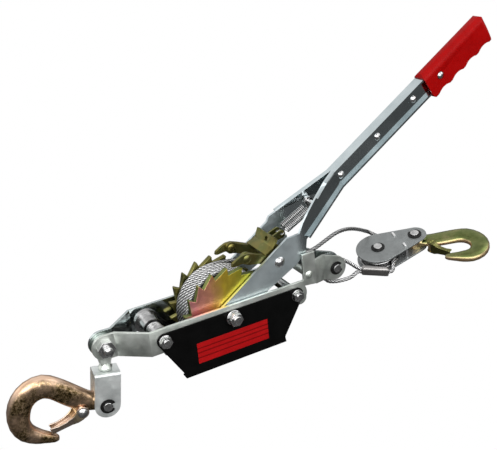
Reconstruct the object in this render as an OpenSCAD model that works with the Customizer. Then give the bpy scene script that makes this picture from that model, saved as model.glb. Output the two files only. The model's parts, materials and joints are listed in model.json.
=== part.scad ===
// Hand cable puller: a ratchet drum between two bent side straps, a forked lever
// handle with a red grip, an anchor hook on a swivel, and a pulley block with a
// load hook on the doubled cable.
// Millimetres. Origin: middle of the drum axle. X runs along the frame towards the
// load hook, Y along the axle, Z up. The near side is -Y.

/* [Drum] */
// Radius over the ratchet teeth
wheel_r = 52.5; // [51.5:0.25:52.5]
// Number of teeth on each ratchet wheel
tooth_count = 18; // [17:1:19]
// Depth of the ratchet teeth
tooth_depth = 8; // [7.5:0.25:9]
// Thickness of each ratchet wheel
wheel_t = 6; // [5:0.5:6]
// Clear width between the two ratchet wheels
drum_w = 32; // [31:0.5:33]
// Radius of the cable's centre line on the drum
winding_r = 45; // [44:0.5:45.5]
// Diameter of the steel cable
rope_d = 4.8; // [4.4:0.1:4.8]
// Turns of cable showing on the drum
rope_turns = 5; // [2:1:5]

/* [Frame] */
// Distance from the axle to the bolts at both ends of the covers
cover_bolt_x = 80; // [79:0.5:82]
// Height of the straight band of the side straps
strap_h = 28; // [26:0.5:29]
// Thickness of the side straps
strap_t = 3; // [2.5:0.1:3.5]
// Thickness of the side covers
cover_t = 1.5; // [1.2:0.1:2]
// Depth of the cover feet below the axle
foot_z = 53; // [53:0.5:58]
// Distance from the axle to the bolt that carries the swivel
anchor_x = 136; // [134:0.5:138]
// Distance from the axle to the pin that holds the cable's dead end
eye_pin_x = 149; // [148:0.5:150]

/* [Handle] */
// Angle of the handle above the frame at rest
handle_angle = 32.4; // [32:0.1:36]
// Distance from the axle to the end of the grip
handle_len = 451; // [440:1:500]
// Width of the pressed handle bar
bar_w = 24; // [22:0.5:24.5]
// Depth of each pressed channel outside its web
channel_f = 4.4; // [3.6:0.2:5]
// Sheet thickness of the handle halves
plate_t = 3; // [2.6:0.1:3.2]
// Length of the red grip
grip_len = 106; // [100:1:112]
// Width of the red grip
grip_w = 18.8; // [18.4:0.2:24]

/* [Swivel and hooks] */
// Lean of the hanging swivel at rest
swivel_lean = 4.2; // [3:0.1:6]
// Turn of the clevis about its shank at rest
swivel_turn = 6; // [0:0.5:12]
// Extra lean of the clevis, which hangs loosely on the shank
clevis_lean = 5; // [3:0.5:5]
// Distance from the swivel's bolt to the hook's pin
clevis_drop = 66.4; // [65:0.2:70]
// Width of the clevis strip
clevis_w = 27.4; // [26:0.2:28]
// Diameter of the pins with black clips
pin_d = 10; // [9.6:0.1:10]
// Length of the load hook against the anchor hook's
load_hook_long = 0.865; // [0.85:0.005:0.88]
// Width over the load hook against the anchor hook's
load_hook_wide = 0.67; // [0.66:0.01:0.7]
// Turn of the load hook about its pin at rest
load_hook_turn = -42; // [-44:0.5:-38]

/* [Pulley block] */
// Distance between the sheave's pin and the hook's pin
block_len = 48.6; // [48:0.2:50]
// Radius of the wide end of the block plates
block_r = 26.6; // [26:0.1:26.8]
// Radius of the narrow end of the block plates
block_nose_r = 14; // [13.5:0.1:14.5]
// Width over the block plates
block_w = 17.4; // [17.2:0.1:18]
// Radius over the sheave's rims
sheave_r = 24; // [23.5:0.1:24.4]
// Radius of the cable's centre line on the sheave
sheave_rope_r = 20.6; // [20.4:0.1:20.8]

/* [Hidden] */
$fn = 64;
// Space between parts that slide past one another.
gap = 0.4;
// Room around a pin that turns in its hole.
fit = 0.05;

// Levels across the frame, from the middle outwards.
wheel_in = drum_w / 2;
wheel_out = wheel_in + wheel_t;
fork_in = wheel_out + 1.5;
fork_out = fork_in + plate_t;
strap_in = fork_out + 1.5;
strap_out = strap_in + strap_t;
cover_out = strap_out + cover_t;
// The straps close to these levels at their two ends.
tab_in = 4;
lobe_in = 6;

axle_r = 5;
bolt_r = 4;
pin_r = pin_d / 2;
rope_r = rope_d / 2;
core_r = winding_r - rope_r - gap;
spacer_r = 7;

// Angle of the first ratchet tooth above the X axis, and the angle per tooth.
tooth_phase = 5.7;
tooth_step = 360 / tooth_count;

// Lever: places along the bar (d) and across it (p), from the axle.
fork_end_d = 109;
bar_start_d = 195;
bar_p = 6.5;
bar_top = bar_p + bar_w / 2;
bar_low = bar_p - bar_w / 2;
grip_start_d = handle_len - grip_len;
bar_end_d = handle_len - 12;
rivet_d = [bar_start_d + 5.3, (bar_start_d + grip_start_d - 16) / 2, grip_start_d - 21];
screw_d = grip_start_d + 20.5;
spring_bolt_d = 154;
spring_bolt_p = 8;

// Drive pawl.
pawl_pivot = [65, 43];
pawl_rivet = [28.5, 56];
spring_foot = [80, 66];
spring_levels = [-7.5, 2.5];

// Guide rod and peened ends.
rod_pos = [98, 19];

// Swivel and clevis, measured down from the swivel's bolt.
clevis_top = 28.5;
clevis_t = 3;
clevis_half = 11.5;

// Pulley block: middle of the sheave and the three turns that lean it.
block_pos = [217, 0, -2.1];
block_yaw = -14.7;
block_pitch = -9.8;
block_tilt = 11.3;
block_half = block_w / 2;
block_t = 2;
spacer_v = 28;
spacer_w = 12.5;
// Where the cable joins and leaves the sheave, as angles in the block's plane.
bight_start = 20;
bight_end = -35;

// Ferrule: its two ends in the block's plane (along, across, up).
ferrule_a = [-31, -21.4, 2.6];
ferrule_b = [-2, -31.4, -5];

// Colours.
c_zinc = [0.80, 0.82, 0.83];
c_yellow = [0.72, 0.66, 0.38];
c_bronze = [0.66, 0.50, 0.36];
c_black = [0.06, 0.06, 0.065];
c_red = [0.80, 0.05, 0.05];
c_rope = [0.62, 0.63, 0.64];
c_grey = [0.58, 0.59, 0.59];
c_steel = [0.70, 0.71, 0.72];

// ---------------------------------------------------------------- geometry aids

// A point at radius r and angle a in a plane.
function polar(r, a) = [r * cos(a), r * sin(a)];

// Left-hand unit normal of the line from a to b.
function side_normal(a, b) = let (d = b - a) [-d[1], d[0]] / norm(d);

// Offset direction at point i of a line of points, long enough for a true corner.
function corner(p, i) =
  let (a = side_normal(p[max(i - 1, 0)], p[max(i - 1, 0) + 1]),
       b = side_normal(p[min(i, len(p) - 2)], p[min(i, len(p) - 2) + 1]))
  (a + b) / (1 + a * b);

// Outline of a strip of thickness t that follows the points p.
function strip(p, t) = concat(
  [for (i = [0 : len(p) - 1]) p[i] + corner(p, i) * t / 2],
  [for (i = [len(p) - 1 : -1 : 0]) p[i] - corner(p, i) * t / 2]);

// Point where a line from p touches a circle at c; s is 1 for its left side.
function touch(c, r, p, s) =
  let (d = c - p, l = norm(d), a = atan2(d[1], d[0]) + s * asin(r / l))
  p + polar(sqrt(l * l - r * r), a);

// Turns a point (x, y) about c by angle a.
function spin(p, c, a) =
  c + [(p[0] - c[0]) * cos(a) - (p[1] - c[1]) * sin(a),
       (p[0] - c[0]) * sin(a) + (p[1] - c[1]) * cos(a)];

function unit(v) = v / norm(v);

// Direction of a route at point i.
function heading(p, i) =
  i == 0 ? unit(p[1] - p[0])
  : i == len(p) - 1 ? unit(p[i] - p[i - 1])
  : unit(unit(p[i + 1] - p[i]) + unit(p[i] - p[i - 1]));

// One ring of points around a route; up is any direction the route never takes.
function ring(c, t, r, n, up) =
  let (u = unit(cross(up, t)), w = cross(t, u))
  [for (k = [0 : n - 1]) c + r * (cos(360 * k / n) * u + sin(360 * k / n) * w)];

// Triangles that join m rings of n points and close both ends.
function skin(m, n) = concat(
  [for (i = [0 : m - 2], k = [0 : n - 1], h = [0, 1])
    let (a = i * n + k, b = i * n + (k + 1) % n)
    h == 0 ? [a, a + n, b + n] : [a, b + n, b]],
  [for (k = [1 : n - 2]) [0, k, k + 1]],
  [for (k = [1 : n - 2]) [(m - 1) * n, (m - 1) * n + k + 1, (m - 1) * n + k]]);

// A closed round tube along a route.
module tube(p, r, n, up) {
  polyhedron(
    points = [for (i = [0 : len(p) - 1]) each ring(p[i], heading(p, i), r, n, up)],
    faces = skin(len(p), n));
}

// Least distance between the surfaces of turns that lie beside one another.
function coil_gap(p, d, turn) = min([for (i = [0 : len(p) - 1])
  for (j = [i + turn : 1 : len(p) - 1]) norm(p[i] - p[j])]) - d;

// Round bar along Y from level a to level b.
module bar_y(r, a, b, x = 0, z = 0) {
  translate([x, a, z]) rotate([-90, 0, 0]) cylinder(r = r, h = b - a);
}

// Hexagon along Y; af is the width across its flats.
module hex_y(af, a, b, x = 0, z = 0, turn = 0) {
  translate([x, a, z]) rotate([-90, turn, 0])
    cylinder(r = af / sqrt(3), h = b - a, $fn = 6);
}

// Flat shapes stood on the plane z = 0 and joined.
module slab(h) {
  for (i = [0 : $children - 1]) linear_extrude(h) children(i);
}

// Flat shapes drawn in X and Z, given thickness from level a to level b.
module plate_y(a, b) {
  for (i = [0 : $children - 1])
    translate([0, b, 0]) rotate([90, 0, 0]) linear_extrude(b - a) children(i);
}

// A domed head of radius r and height h standing on the plane z = 0.
module dome(r, h) {
  ball = (r * r + h * h) / (2 * h);
  rotate_extrude() intersection() {
    translate([0, h - ball]) circle(r = ball);
    square([r, h]);
  }
}

// The domed head standing on level a and pointing towards +Y (s = 1) or -Y.
module dome_y(r, h, a, s, x = 0, z = 0) {
  translate([x, a, z]) rotate([-90 * s, 0, 0]) dome(r, h);
}

// A spring clip seen along its pin: an open ring with three inner lands.
module clip_flat(r_in, r_out) {
  difference() {
    circle(r = r_out);
    circle(r = r_in);
    polygon([[0, 0], [r_out * 1.5, -r_out * 0.75], [r_out * 1.5, r_out * 0.75]]);
  }
}

module clip_y(a, b, x = 0, z = 0, turn = 0) {
  translate([x, b, z]) rotate([90, turn, 0]) linear_extrude(b - a)
    clip_flat(pin_r, pin_r + 3.2);
}

// ------------------------------------------------------------------ frame

// Plan of the near strap: closed at both ends, wide around the drum.
strap_plan = [[-152, -tab_in - strap_t / 2], [-124, -tab_in - strap_t / 2],
  [-95, -strap_in - strap_t / 2], [107, -strap_in - strap_t / 2],
  [133, -lobe_in - strap_t / 2], [166, -lobe_in - strap_t / 2]];

// Side strap: band, rounded tab, ear, neck and rounded lobe.
module strap() {
  half = strap_h / 2;
  lobe = [eye_pin_x - 1.5, 3];
  color(c_zinc) difference() {
    intersection() {
      plate_y(-strap_out - 1, 0) {
        translate([-anchor_x, 0.5]) circle(r = half);
        polygon([[-anchor_x, -half + 0.5], [-anchor_x + 10, -half], [cover_bolt_x, -half],
          [cover_bolt_x, half], [-anchor_x + 10, half], [-anchor_x, half + 0.5]]);
        translate([cover_bolt_x, 0]) circle(r = half);
        translate([cover_bolt_x + 5, 8 - half]) circle(r = 8);
        translate(lobe) circle(r = 15);
        polygon([[cover_bolt_x, half], [91, half], [91, 45], [107, 45], [107, 34],
          touch(lobe, 15, [107, 34], 1), lobe, touch(lobe, 15, [106, 5.5], -1),
          [106, 5.5], [cover_bolt_x + 13, 7], [cover_bolt_x, 0]]);
      }
      translate([0, 0, -60]) linear_extrude(120) polygon(strip(strap_plan, strap_t));
    }
    bar_y(axle_r, -40, 0);
    for (x = [-cover_bolt_x, cover_bolt_x]) bar_y(bolt_r, -40, 0, x);
    bar_y(pin_r, -20, 0, -anchor_x, 0.5);
    bar_y(pin_r, -20, 0, eye_pin_x, 3);
    bar_y(3, -40, 0, rod_pos[0], rod_pos[1]);
  }
}

module near_strap() { strap(); }
module far_strap() { mirror([0, 1, 0]) strap(); }

// Side cover: a six-sided sheet with round upper corners and a turned-in foot.
kink = [61.1, -46.3];
left_kink = [-64, -45.5];
module cover() {
  r = 8.5;
  top = [cover_bolt_x, 0];
  left = [-cover_bolt_x, 0];
  color(c_black) difference() {
    union() {
      plate_y(-cover_out, -strap_out) {
        translate(top) circle(r = r);
        translate(left) circle(r = r);
        polygon([touch(left, r, left_kink, 1), left_kink,
          [-62, -foot_z], [62, -foot_z], kink,
          touch(top, r, kink, -1), top + [0, r], left + [0, r]]);
      }
      translate([-62, -cover_out, -foot_z]) cube([124, 9, cover_t]);
    }
    bar_y(axle_r, -40, 0);
    for (x = [-cover_bolt_x, cover_bolt_x]) bar_y(bolt_r, -40, 0, x);
  }
}

module near_cover() { cover(); }
module far_cover() { mirror([0, 1, 0]) cover(); }

module label_plate() {
  color(c_red) translate([-46, -cover_out - 0.4, -40.5]) cube([86, 0.4, 24.5]);
}

// Axle bolt, with its washers and nut.
module axle_bolt() {
  color(c_zinc) {
    bar_y(axle_r, -cover_out - 11.4, cover_out + 4);
    hex_y(16, cover_out + 1.6, cover_out + 8, turn = 10);
  }
}

module axle_nut() {
  color(c_zinc) difference() {
    hex_y(14, -cover_out - 8.6, -cover_out - 1.6, turn = 12);
    bar_y(axle_r, -60, 0);
  }
}

module axle_washers() {
  color(c_zinc) difference() {
    for (s = [-1, 1])
      bar_y(8.6, s * (cover_out + 0.8) - 0.8, s * (cover_out + 0.8) + 0.8);
    bar_y(axle_r, -60, 60);
  }
}

module cover_bolts() {
  color(c_zinc) for (x = [-cover_bolt_x, cover_bolt_x]) {
    bar_y(bolt_r, -cover_out - 7, cover_out + 3, x);
    hex_y(13, cover_out, cover_out + 5.3, x, 0, 15);
  }
}

module cover_nuts() {
  color(c_zinc) difference() {
    for (x = [-cover_bolt_x, cover_bolt_x]) {
      bar_y(7, -cover_out - 1, -cover_out, x);
      hex_y(12, -cover_out - 5.5, -cover_out - 0.5, x, 0, 22 + x / 8);
    }
    for (x = [-cover_bolt_x, cover_bolt_x]) bar_y(bolt_r, -60, 0, x);
  }
}

// Tube around the left cover bolt: the stop pawl turns on it.
module pawl_spacer() {
  color(c_steel) difference() {
    bar_y(spacer_r, -strap_in, strap_in, -cover_bolt_x);
    bar_y(bolt_r, -60, 60, -cover_bolt_x);
  }
}

module strap_spacer() {
  color(c_steel) difference() {
    bar_y(6, -strap_in, strap_in, cover_bolt_x);
    bar_y(bolt_r, -60, 60, cover_bolt_x);
  }
}

// Rod across the two ears; its thin ends are spread outside the straps.
module guide_rod() {
  color(c_zinc) translate([rod_pos[0], 0, rod_pos[1]]) difference() {
    union() {
      bar_y(4, -strap_in, strap_in);
      bar_y(3, -strap_out, strap_out);
      for (s = [-1, 1]) dome_y(4.6, 1.8, s * strap_out, s);
    }
    for (s = [-1, 1], a = [20, 110]) rotate([0, a, 0])
      translate([-5, s * (strap_out + 2) - 0.9, -0.5]) cube([10, 1.8, 1]);
  }
}

module strap_bolt() {
  color(c_zinc) {
    bar_y(pin_r, -tab_in - strap_t - 11, tab_in + strap_t + 3, -anchor_x, 0.5);
    dome_y(pin_r, 2, -tab_in - strap_t - 11, -1, -anchor_x, 0.5);
    hex_y(17, tab_in + strap_t, tab_in + strap_t + 6.4, -anchor_x, 0.5, 5);
  }
}

module strap_nut() {
  color(c_zinc) difference() {
    hex_y(17, -tab_in - strap_t - 6.5, -tab_in - strap_t, -anchor_x, 0.5, 8);
    bar_y(pin_r, -40, 0, -anchor_x, 0.5);
  }
}

module eye_pin() {
  color(c_zinc) bar_y(pin_r, -lobe_in - strap_t - 3.2, lobe_in + strap_t + 3.2, eye_pin_x, 3);
}

module eye_pin_clips() {
  a = lobe_in + strap_t;
  color(c_black) {
    clip_y(-a - 1.2, -a, eye_pin_x, 3, -5);
    clip_y(a, a + 1.2, eye_pin_x, 3, 30);
  }
}

// Torsion spring around the pawl's tube: straight end, curls, straight end.
torsion_r = 8.5;
torsion_wire = 1.4;
torsion_turns = 5.5;
torsion_pitch = 2.1;
torsion_n = 8 * torsion_turns;
torsion_route = concat(
  [[torsion_r, 0, -4 * torsion_wire], [torsion_r, 0, -2 * torsion_wire]],
  [for (i = [0 : torsion_n]) [torsion_r * cos(45 * i), i * torsion_pitch / 8,
    torsion_r * sin(45 * i)]],
  [[-torsion_r, torsion_turns * torsion_pitch, -2 * torsion_wire],
   [-torsion_r, torsion_turns * torsion_pitch, -4 * torsion_wire]]);
echo(torsion_gap = coil_gap(torsion_route, torsion_wire, 6));

module pawl_torsion_spring() {
  color(c_steel) translate([-cover_bolt_x, -14.5, 0])
    tube(torsion_route, torsion_wire / 2, 6, [0, 1, 0]);
}

// ------------------------------------------------------------------ cable

// Middle of the cable where it lies in the sheave.
bight = [for (i = [0 : 6]) on_sheave(bight_start + (bight_end - bight_start) * i / 6)];

// Free cable from the drum's top to the far side of the sheave. The last points
// are in the block's plane (along, across, up).
lead_y = rope_turns * (rope_d + 0.45) / 2;
lead_route = concat(
  [[0, lead_y, winding_r], [rope_d, lead_y, winding_r], [rope_d + 3, lead_y, winding_r],
   [20, lead_y - 0.5, 43.4], [42, lead_y - 2, 39], [64, lead_y - 4.5, 34.2], [88, lead_y - 7.5, 30.6],
   [105, 4, 29], [118, 2.6, 28.6], [130, 3, 30.4], [146, 4.4, 35.2],
   [160, 6.2, 38.6], [173, 8.6, 38.4], [187, 12.4, 34.6], [200, 16.8, 28.6],
   [211, 21, 22.4]],
  [for (q = [[2.5, 32.2, 9.6], [8.6, 28.6, 5], [13.9, 22.8, 2.2], [16.9, 16.4, 0.5]])
    in_world(q)],
  [in_world(bight[0] + 3 * unit(bight[0] - bight[1])), in_world(bight[0])]);

// A place on the sheave's rope circle, and a place in the block seen in the world.
function on_sheave(a) = [sheave_rope_r * cos(a), sheave_rope_r * sin(a), 0];
function in_world(q) =
  let (a = [q[0], q[1] * cos(block_tilt) - q[2] * sin(block_tilt),
            q[1] * sin(block_tilt) + q[2] * cos(block_tilt)],
       b = [a[0] * cos(block_pitch) + a[2] * sin(block_pitch), a[1],
            -a[0] * sin(block_pitch) + a[2] * cos(block_pitch)])
  block_pos + [b[0] * cos(block_yaw) - b[1] * sin(block_yaw),
               b[0] * sin(block_yaw) + b[1] * cos(block_yaw), b[2]];

module rope_lead() {
  route = [for (i = [1 : len(lead_route) - 1]) lead_route[i]];
  color(c_rope) tube(route, rope_r, 10, [0.1, 0.25, 1]);
}

// Cable lying in the sheave.
module rope_bight() {
  color(c_rope) in_block() tube(bight, rope_r, 10, [0, 0, 1]);
}

// Cable from the sheave into the ferrule.
ferrule_dir = unit(ferrule_b - ferrule_a);
module rope_tail() {
  color(c_rope) in_block() tube(
    [bight[6], bight[6] + 3 * unit(bight[6] - bight[5]), [12.9, -17.4, 0], [9.6, -21.8, -0.3],
     [7.4, -25.4, -1.4], [5.2, -29, -3.6], [3, -31.6, -5], ferrule_b + ferrule_dir * 2, ferrule_b],
    rope_r, 10, [0, 0, 1]);
}

// Loop of cable around the eye pin; both of its ends meet the ferrule.
ferrule_up = unit([0, 0, 1] - ferrule_dir[2] * ferrule_dir);
eye_high = in_world(ferrule_a + ferrule_up * (rope_r + 0.1));
eye_low = in_world(ferrule_a - ferrule_up * (rope_r + 0.1));
eye_back = in_world(ferrule_a - ferrule_dir * 4) - in_world(ferrule_a);
eye_route = [eye_high, eye_high + eye_back, [169, -6.4, 2.4], [160.5, -3.2, 8.2],
  [151, -0.6, 11], [143, 0.4, 9.4], [138, 0.6, 4], [136.4, 0.4, -3],
  [137.4, 0, -10], [142, -0.8, -15.4], [150, -2.4, -18], [160, -5, -18.2],
  [169.5, -7.6, -16.6], eye_low + eye_back, eye_low];

module rope_eye() {
  color(c_rope) tube(eye_route, rope_r, 10, [0.1, 1, 0]);
}

// Pressed sleeve: an oval tube with bevelled ends over the two cable parts.
module ferrule() {
  l = norm(ferrule_b - ferrule_a);
  across = atan2(ferrule_dir[1], ferrule_dir[0]);
  up = asin(ferrule_dir[2]);
  color(c_steel) in_block() translate(ferrule_a) rotate([0, -up, across]) rotate([90, 0, 90])
    intersection() {
      slab(l) {
        translate([0, -2.5]) circle(r = 3.9);
        translate([0, 2.5]) circle(r = 3.9);
        square([7.8, 5], center = true);
      }
      rotate([0, 90, 0]) translate([0, 0, -10]) linear_extrude(20)
        polygon([[0, -4], [0, 4], [-3, 6.4], [-l + 3, 6.4], [-l, 4], [-l, -4],
          [-l + 3, -6.4], [-3, -6.4]]);
    }
}

// Winding on the drum: starts in a hole in the core, ends on top towards +X.
wind_pitch = rope_d + 0.45;
wind_start = 90 + 360 * rope_turns;
wind_bend = [for (t = [0, 30, 60]) [winding_r - 4 + 4 * sin(t), 4 - 4 * cos(t)]];
wind_from = asin(4 / winding_r);
wind_steps = 24 * rope_turns;
winding = concat(
  [for (q = [[core_r - 7, 0], [core_r - 2, 0]]) wind_at(q[0], wind_start, 0)],
  [for (q = wind_bend) wind_at(norm(q), wind_start - atan2(q[1], q[0]), 0)],
  [for (i = [0 : wind_steps])
    let (f = i / wind_steps)
    wind_at(winding_r, wind_start - wind_from - (360 * rope_turns - wind_from) * f, f)],
  [[rope_d, lead_y, winding_r]]);
function wind_at(r, a, f) =
  [r * cos(a), -lead_y + 2 * lead_y * f, r * sin(a)];
echo(winding_gap = coil_gap([for (i = [5 : len(winding) - 1]) winding[i]], rope_d, 12));

module rope_winding() {
  color(c_rope) tube(winding, rope_r, 6, [0, 1, 0]);
}

// ------------------------------------------------------------------ drum

module drum_core() {
  color(c_steel) difference() {
    bar_y(core_r, -wheel_in, wheel_in);
    bar_y(8, -40, 40);
    translate([0, -lead_y, 0]) translate([0, 0, core_r - 7]) cylinder(r = rope_r + 0.7, h = 12);
  }
}

// Saw teeth: steep faces look clockwise from the near side.
function ratchet_points() = [for (k = [0 : tooth_count - 1])
  let (a = tooth_phase + k * tooth_step)
  each [polar(wheel_r - tooth_depth, a - 1), polar(wheel_r, a), polar(wheel_r, a + 1.5)]];

module ratchet(a, b) {
  color(c_yellow) difference() {
    plate_y(a, b) polygon(ratchet_points());
    bar_y(8, -40, 40);
  }
}

module near_ratchet() { ratchet(-wheel_out, -wheel_in); }
module far_ratchet() { ratchet(wheel_in, wheel_out); }

module drum_bush() {
  color(c_steel) difference() {
    bar_y(8, -wheel_out - 0.8, wheel_out + 0.8);
    bar_y(axle_r + fit, -40, 40);
  }
}

// Stop pawl: two toothed legs, a sleeve between them and a large far head.
pawl_tip = polar(wheel_r + 0.5, 206);
module stop_leg(a, b, head_r) {
  c = [-cover_bolt_x, 0];
  plate_y(a, b) {
    polygon([pawl_tip, [-57.6, -8.6], c + [13, 3], c + [4, 10], c + [-9, -6],
      c + [15.5, -25.6], pawl_tip + [-4, -2.2]]);
    translate(c) circle(r = head_r);
  }
}

module stop_pawl() {
  color(c_steel) difference() {
    union() {
      stop_leg(-wheel_out + 0.5, -wheel_in - 0.5, 11);
      stop_leg(wheel_in + 0.5, wheel_out - 0.5, 14);
      bar_y(11, 0, wheel_in + 0.6, -cover_bolt_x);
      plate_y(-wheel_in - 0.6, wheel_in + 0.6)
        polygon([[-72, -20], [-64, -12.5], [-62, -16], [-70, -23.5]]);
    }
    bar_y(spacer_r + fit, -40, 40, -cover_bolt_x);
  }
}

// ------------------------------------------------------------------ handle

module in_handle() { rotate([0, -handle_angle, 0]) children(); }

// Level of the web's middle at distance d along the near half.
slope = (fork_in + fork_out - plate_t) / 2 / (bar_start_d - fork_end_d);
web_plan = [[-17, -fork_in - plate_t / 2], [fork_end_d, -fork_in - plate_t / 2],
  [bar_start_d, -plate_t / 2], [bar_end_d, -plate_t / 2]];
flange_plan = [[fork_end_d + 12, -fork_in - plate_t / 2 + 12 * slope],
  [bar_start_d, -plate_t / 2], [bar_end_d, -plate_t / 2],
  [bar_end_d, -plate_t - channel_f], [bar_start_d - 2, -plate_t - channel_f],
  [fork_end_d + 12, -fork_out - channel_f + 12 * slope]];

// One half of the lever: a web from the axle's round end to the grip, with two
// turned edges from the fork's end on.
module handle_half() {
  t = 2.4;
  a = fork_end_d + 10;
  color(c_zinc) in_handle() difference() {
    union() {
      intersection() {
        plate_y(-60, 1) {
          circle(r = 15);
          polygon([[0, -14.8], [46, -13.5], [91, -17.5], [107, -15],
            [fork_end_d + 9, bar_low], [bar_end_d, bar_low], [bar_end_d, bar_top],
            [bar_start_d, bar_top], [fork_end_d + 2, 20], [fork_end_d - 4, 16.5], [0, 14.8]]);
        }
        translate([0, 0, -60]) linear_extrude(120) polygon(strip(web_plan, plate_t));
      }
      intersection() {
        plate_y(-60, 1) {
          polygon([[a, bar_low], [bar_end_d, bar_low], [bar_end_d, bar_low + t],
            [a, bar_low + t]]);
          polygon([[a, 19.8], [bar_start_d, bar_top], [bar_end_d, bar_top],
            [bar_end_d, bar_top - t], [bar_start_d, bar_top - t], [a, 19.8 - t]]);
        }
        translate([0, 0, -60]) linear_extrude(120) polygon(flange_plan);
      }
    }
    bar_y(axle_r + fit, -60, 60);
    rotate([0, handle_angle, 0]) bar_y(bolt_r, -60, 60, pawl_pivot[0], pawl_pivot[1]);
    for (d = rivet_d) bar_y(3, -60, 60, d, bar_p);
    bar_y(2.5, -60, 60, screw_d, bar_p);
  }
}

// The near half's upper edge is dressed lower where the springs pass it.
module near_handle_half() {
  difference() {
    handle_half();
    color(c_zinc) in_handle() plate_y(-60, 0)
      polygon([[fork_end_d - 7, 15.6], [fork_end_d + 2, 10.6], [fork_end_d + 6, 7.5],
        [fork_end_d + 17, 11.6], [fork_end_d + 31, 14.4], [fork_end_d + 50, 16.9],
        [fork_end_d + 69, 18.6], [fork_end_d + 69, 40], [fork_end_d - 7, 40]]);
  }
}
module far_handle_half() {
  difference() {
    mirror([0, 1, 0]) handle_half();
    color(c_zinc) in_handle() bar_y(3, -60, 60, spring_bolt_d, spring_bolt_p);
  }
}

module handle_rivets() {
  color(c_zinc) in_handle() for (d = rivet_d) {
    bar_y(3, -plate_t, plate_t, d, bar_p);
    for (s = [-1, 1]) dome_y(4.6, 2.6, s * plate_t, s, d, bar_p);
  }
}

// Grip: a rounded block with four finger hollows, sleeved over the bar.
grip_top = 23.2;
grip_low = -12;
module grip() {
  a = grip_start_d;
  b = handle_len;
  mid = (grip_top + grip_low) / 2;
  h = (grip_top - grip_low) / 2;
  w = grip_w / 2;
  upper_r = 8.5;
  end_r = 8;
  lower_r = 2.5;
  pocket_w = 2 * (plate_t + channel_f) + 0.3;
  color(c_red) in_handle() difference() {
    intersection() {
      plate_y(-w - 1, w + 1) {
        polygon([[a, grip_low + 6], [a, grip_top - 3], [a + 3, grip_top], [b - 8, grip_top],
          [b - 8, grip_top - 8], [b, grip_top - 8], [b - 4, grip_low + 4], [b - 8, grip_low + 4],
          [b - 8, grip_low], [a + 6, grip_low], [a + 6, grip_low + 6]]);
        translate([b - 8, grip_top - 8]) circle(r = 8);
        translate([a + 6, grip_low + 6]) circle(r = 6);
        translate([b - 8, grip_low + 4]) circle(r = 4);
      }
      translate([a - 5, 0, mid]) rotate([90, 0, 90]) slab(grip_len + 10) {
        translate([-w, lower_r - h]) square([2 * w, 2 * h - upper_r - lower_r]);
        translate([upper_r - w, 0]) square([2 * (w - upper_r), h]);
        translate([lower_r - w, -h]) square([2 * (w - lower_r), h]);
        for (s = [-1, 1]) translate([s * (w - upper_r), h - upper_r]) circle(r = upper_r);
        for (s = [-1, 1]) translate([s * (w - lower_r), lower_r - h]) circle(r = lower_r);
      }
      translate([0, 0, -50]) slab(100) {
        translate([a, -w]) square([grip_len - end_r, 2 * w]);
        translate([a, end_r - w]) square([grip_len, 2 * (w - end_r)]);
        for (s = [-1, 1]) translate([b - end_r, s * (w - end_r)]) circle(r = end_r);
      }
    }
    for (i = [0 : 3]) bar_y(17, -w - 2, w + 2, b - 18.5 - 23.4 * i, grip_low - 13);
    translate([0, -pocket_w / 2, bar_low - 0.15])
      cube([bar_end_d + 0.2, pocket_w, bar_w + 0.3]);
    bar_y(2.5, -60, 60, screw_d, bar_p);
    for (s = [-1, 1])
      bar_y(5, s * (grip_w / 2 + 4.2) - 5, s * (grip_w / 2 + 4.2) + 5, screw_d, bar_p);
  }
}

module grip_screw() {
  w = grip_w / 2 - 0.8;
  color(c_zinc) in_handle() {
    bar_y(2.5, -w, w, screw_d, bar_p);
    for (s = [-1, 1]) dome_y(4.6, 2.4, s * w, s, screw_d, bar_p);
  }
}

module pawl_bolt() {
  color(c_zinc) translate([pawl_pivot[0], 0, pawl_pivot[1]]) {
    bar_y(bolt_r, -fork_out, fork_out + 6.4);
    dome_y(6.5, 3.6, -fork_out, -1);
  }
}

module pawl_nut() {
  color(c_zinc) translate([pawl_pivot[0], 0, pawl_pivot[1]]) difference() {
    hex_y(13, fork_out, fork_out + 5.6, turn = 10);
    bar_y(bolt_r, 0, 60);
  }
}

// Bolt in the far half that holds the springs' upper hooks.
spring_level = (bar_start_d - spring_bolt_d) * slope;
module spring_bolt() {
  color(c_zinc) in_handle() {
    bar_y(3, -spring_level + 2, spring_level + plate_t + 4, spring_bolt_d, spring_bolt_p);
    dome_y(4.4, 1.4, -spring_level + 2, -1, spring_bolt_d, spring_bolt_p);
    hex_y(10, spring_level + plate_t + 1.8, spring_level + plate_t + 5.8, spring_bolt_d,
      spring_bolt_p, 15);
  }
}

module spring_nut() {
  color(c_zinc) in_handle() difference() {
    hex_y(10, spring_level - 6.4, spring_level - 1.8, spring_bolt_d, spring_bolt_p, 25);
    bar_y(3, -60, 60, spring_bolt_d, spring_bolt_p);
  }
}

// ------------------------------------------------------------------ drive pawl

// Toothed leg riveted outside the bridge; its tip stands just clear of the teeth.
drive_r = wheel_r + 0.6;
module drive_leg(a, b) {
  plate_y(a, b) polygon([polar(drive_r, 79.5), [11, 55.6], [18, 59.6], [23.6, 61.8], [30, 61.8],
    [38, 59], [49, 54.2], [62, 48], [57, 40], [42, 46.4], polar(drive_r + 4, 59),
    polar(drive_r + 3.8, 67.5), polar(drive_r, 76)]);
}

// Side of the bridge: from the pivot to the rivet and up to the spring tab.
module bridge_side(a, b) {
  plate_y(a, b) {
    translate(pawl_pivot) circle(r = 8.5);
    translate(pawl_rivet) circle(r = 6.6);
    polygon([pawl_rivet + [-1, 6.5], [34, 60.3], [42, 56.4], [51, 53.8], [66, 59.8], [71.5, 56],
      [73, 46], [65, 34.5], [57, 38.8], [38, 46.6], pawl_rivet + [1, -6.5]]);
  }
}

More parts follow.
